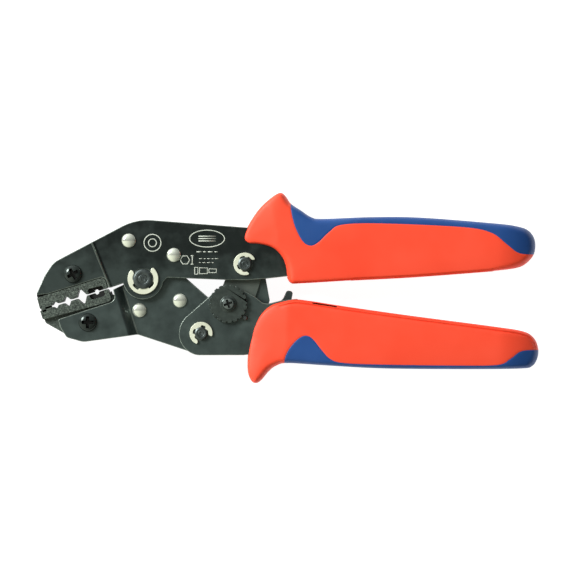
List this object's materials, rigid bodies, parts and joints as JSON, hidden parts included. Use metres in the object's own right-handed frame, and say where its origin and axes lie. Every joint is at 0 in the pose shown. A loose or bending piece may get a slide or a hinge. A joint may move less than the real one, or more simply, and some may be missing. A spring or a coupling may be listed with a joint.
{
  "type": "crimping tool",
  "caption": "Hand crimping tool with folded steel side plates, exchangeable dies, a toggle link with a notched adjuster wheel, and two-colour moulded grips.",
  "frame": {"origin": "centre of the tool's box, on the surface it lies on", "axes": "+X from the jaws to the handle ends, +Y from the moving handle to the fixed handle, +Z out of the front face with the clips and the adjuster wheel"},
  "size_m": [0.1906, 0.0722, 0.0182],
  "materials": {
    "black_steel": "black oxide, satin",
    "die_steel": "blackened, slightly rough",
    "black_screw": "black, semi-gloss",
    "dark_steel": "turned, oiled",
    "plain_steel": "plain",
    "bright_steel": "nickel plated",
    "zinc_steel": "zinc plated",
    "red_grip": "satin moulded",
    "blue_inlay": "soft touch"
  },
  "bodies": {
    "fixed_frame": {"upper_plate_front": "black_steel", "upper_plate_back": "black_steel", "upper_die": "die_steel", "upper_die_screw": "black_screw", "upper_die_screw_nut": "black_screw", "upper_rivet_1": "bright_steel", "upper_rivet_2": "bright_steel", "upper_sleeve_1": "plain_steel", "upper_sleeve_2": "plain_steel", "main_pivot_pin": "dark_steel", "main_pivot_clip": "zinc_steel", "link_pin": "dark_steel", "link_pin_clip": "zinc_steel", "upper_tang_pin": "dark_steel", "upper_tang_sleeve": "plain_steel", "return_spring": "plain_steel", "upper_grip": "red_grip", "upper_grip_inlay": "blue_inlay"},
    "moving_jaw": {"jaw_plate_front": "black_steel", "jaw_plate_back": "black_steel", "lower_die": "die_steel", "lower_die_screw": "black_screw", "lower_die_screw_nut": "black_screw", "jaw_rivet_1": "bright_steel", "jaw_rivet_2": "bright_steel", "jaw_sleeve_1": "plain_steel", "jaw_sleeve_2": "plain_steel"},
    "toggle_link": {"toggle_link": "black_steel"},
    "moving_handle": {"handle_plate_front": "black_steel", "handle_plate_back": "black_steel", "handle_pin": "dark_steel", "handle_pin_clip": "zinc_steel", "adjuster_lock_pin": "dark_steel", "pawl_pin": "dark_steel", "pawl_spring": "plain_steel", "spring_anchor_pin": "dark_steel", "lower_tang_pin": "dark_steel", "lower_tang_sleeve": "plain_steel", "lower_grip": "red_grip", "lower_grip_inlay": "blue_inlay"},
    "adjuster": {"adjuster_shaft": "dark_steel", "adjuster_wheel": "black_steel", "adjuster_washer": "black_steel", "adjuster_screw": "dark_steel"},
    "release_pawl": {"release_pawl": "black_steel"}
  },
  "joints": [
    {"name": "jaw_pivot", "type": "hinge", "parent": "fixed_frame", "child": "moving_jaw", "pos_m": [-0.05494, 0.0034, 0.009], "axis": [0, 0, 1], "range_deg": [-0.9, 17.1]},
    {"name": "handle_pivot", "type": "hinge", "parent": "moving_jaw", "child": "moving_handle", "pos_m": [-0.03294, -0.0172, 0.009], "axis": [0, 0, 1], "range_deg": [-55.7, 2.9]},
    {"name": "link_pivot", "type": "hinge", "parent": "fixed_frame", "child": "toggle_link", "pos_m": [-0.01634, 0.0091, 0.009], "axis": [0, 0, 1], "range_deg": [-2, 37.4]},
    {"name": "adjuster_turn", "type": "hinge", "parent": "moving_handle", "child": "adjuster", "pos_m": [-0.02264, -0.006, 0.009], "axis": [0, 0, 1], "range_deg": [-90, 90]},
    {"name": "pawl_pivot", "type": "hinge", "parent": "moving_handle", "child": "release_pawl", "pos_m": [-0.00254, -0.0114, 0.009], "axis": [0, 0, 1], "range_deg": [-10, 10], "stiffness_Nm_per_rad": 0.05}
  ],
  "couplings": [
    {"joint": "jaw_pivot", "follows": "handle_pivot", "ratio": -0.305},
    {"joint": "link_pivot", "follows": "handle_pivot", "ratio": -0.67}
  ]
}
